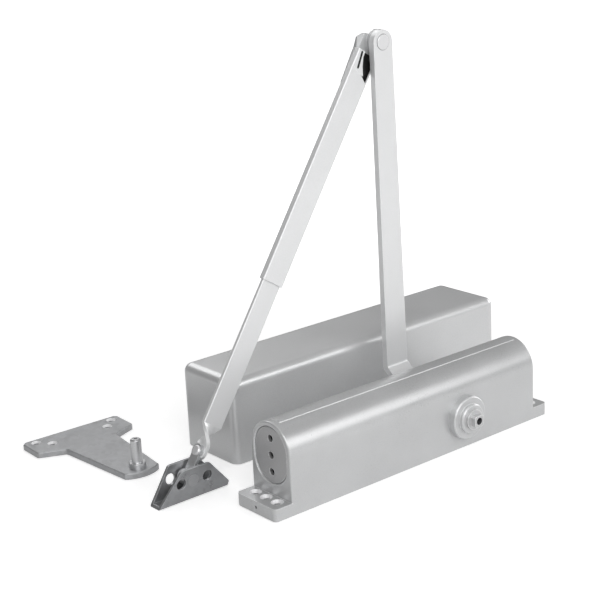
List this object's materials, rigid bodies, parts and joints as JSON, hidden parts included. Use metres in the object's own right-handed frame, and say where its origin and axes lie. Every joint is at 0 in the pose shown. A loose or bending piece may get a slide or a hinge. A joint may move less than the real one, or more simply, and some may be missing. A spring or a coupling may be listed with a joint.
{
  "type": "door closer",
  "caption": "Surface door closer with a rack-and-pinion housing, folding double-lever arm with pressed shoe, loose box cover and parallel-arm bracket.",
  "frame": {"origin": "centre of the housing's mounting face, the face that goes against the door", "axes": "+Z away from the mounting face, +X along the housing from the spring end to the valve end, +Y to the side of the pinion that carries the arm"},
  "size_m": [0.4481, 0.3079, 0.3658],
  "materials": {
    "body_paint": "satin silver-grey enamel",
    "cover_paint": "smooth silver-grey enamel, a little glossier than the body",
    "arm_paint": "light satin silver enamel",
    "plate_steel": "dull grey steel",
    "plug_steel": "turned steel",
    "gland_steel": "turned steel, bright edges",
    "pinion_steel": "machined steel",
    "ground_steel": "ground steel",
    "bearing_steel": "ground steel",
    "spring_steel": "oiled spring steel",
    "dark_steel": "blackened steel",
    "rivet_steel": "bright steel",
    "swivel_steel": "plated steel",
    "zinc_steel": "zinc-plated steel",
    "shoe_zinc": "galvanised sheet with a faint grain",
    "bracket_zinc": "dull plated steel plate",
    "stud_steel": "turned steel",
    "valve_brass": "turned brass",
    "seal_rubber": "black nitrile rubber"
  },
  "bodies": {
    "closer": {"closer_body": "body_paint", "spring_end_plate": "plate_steel", "spring_end_plug": "plug_steel", "spring_plug_seal": "seal_rubber", "hydraulic_end_plug": "plug_steel", "hydraulic_plug_seal": "seal_rubber", "gland_nut_near": "gland_steel", "gland_nut_far": "gland_steel", "pinion_bearing_near": "bearing_steel", "pinion_bearing_far": "bearing_steel", "pinion_seal_near": "seal_rubber", "pinion_seal_far": "seal_rubber", "main_spring": "spring_steel"},
    "adjuster": {"spring_adjust_screw": "dark_steel"},
    "seat": {"spring_seat": "plug_steel"},
    "piston": {"piston_rack": "ground_steel", "check_ball": "ground_steel"},
    "sweep": {"sweep_valve": "valve_brass"},
    "latch": {"latch_valve": "valve_brass"},
    "pinion": {"pinion_shaft": "pinion_steel", "main_arm": "arm_paint", "arm_washer": "zinc_steel", "arm_screw": "dark_steel", "elbow_rivet": "rivet_steel", "elbow_washer": "zinc_steel"},
    "forearm": {"forearm_knuckle": "arm_paint", "forearm_channel": "arm_paint", "forearm_clamp_screw": "zinc_steel"},
    "forearm_end": {"forearm_bar": "arm_paint", "swivel_rivet": "rivet_steel"},
    "swivel_link": {"swivel": "swivel_steel"},
    "foot": {"shoe": "shoe_zinc", "shoe_rivet": "rivet_steel"},
    "loose_cover": {"cover": "cover_paint"},
    "loose_bracket": {"bracket_plate": "bracket_zinc", "bracket_stud": "stud_steel"}
  },
  "joints": [
    {"name": "pinion_turn", "type": "hinge", "parent": "closer", "child": "pinion", "pos_m": [0.0541, 0, 0.0295], "axis": [0, -1, 0], "range_deg": [0, 150], "stiffness_Nm_per_rad": 6, "springref_deg": -85.94},
    {"name": "piston_slide", "type": "slide", "parent": "closer", "child": "piston", "axis": [-1, 0, 0], "range_m": [0, 0.0265], "deforming": ["main_spring"]},
    {"name": "spring_adjust", "type": "hinge", "parent": "closer", "child": "adjuster", "pos_m": [-0.1271, 0, 0.0461], "axis": [1, 0, 0], "range_deg": [0, 1440]},
    {"name": "seat_slide", "type": "slide", "parent": "closer", "child": "seat", "axis": [1, 0, 0], "range_m": [0, 0.0101], "deforming": ["main_spring"]},
    {"name": "sweep_valve_turn", "type": "hinge", "parent": "closer", "child": "sweep", "pos_m": [0.133, -0.015, 0.02], "axis": [1, 0, 0], "range_deg": [0, 180]},
    {"name": "latch_valve_turn", "type": "hinge", "parent": "closer", "child": "latch", "pos_m": [0.133, 0.015, 0.02], "axis": [1, 0, 0], "range_deg": [0, 180]},
    {"name": "elbow", "type": "hinge", "parent": "pinion", "child": "forearm", "pos_m": [0.04728, 0.06845, 0.35493], "axis": [0, 1, 0], "range_deg": [-30, 120]},
    {"name": "forearm_adjust", "type": "slide", "parent": "forearm", "child": "forearm_end", "axis": [-0.5476, 0, -0.8367], "range_m": [-0.03, 0.04]},
    {"name": "swivel_tilt", "type": "hinge", "parent": "forearm_end", "child": "swivel_link", "pos_m": [-0.16719, 0.06845, 0.03565], "axis": [-0.8367, 0, 0.5476], "range_deg": [-10, 10]},
    {"name": "shoe_pivot", "type": "hinge", "parent": "swivel_link", "child": "foot", "pos_m": [-0.18313, 0.06845, 0.0174], "axis": [0, 1, 0], "range_deg": [-5, 65]},
    {"name": "cover_lift", "type": "slide", "parent": "closer", "child": "loose_cover", "axis": [0, 0, 1], "range_m": [0, 0.1]},
    {"name": "bracket_lift", "type": "slide", "parent": "closer", "child": "loose_bracket", "axis": [0, 0, 1], "range_m": [0, 0.1]}
  ],
  "couplings": [
    {"joint": "piston_slide", "follows": "pinion_turn", "m_per_rad": 0.01},
    {"joint": "seat_slide", "follows": "spring_adjust", "m_per_rad": 0.00039789}
  ]
}
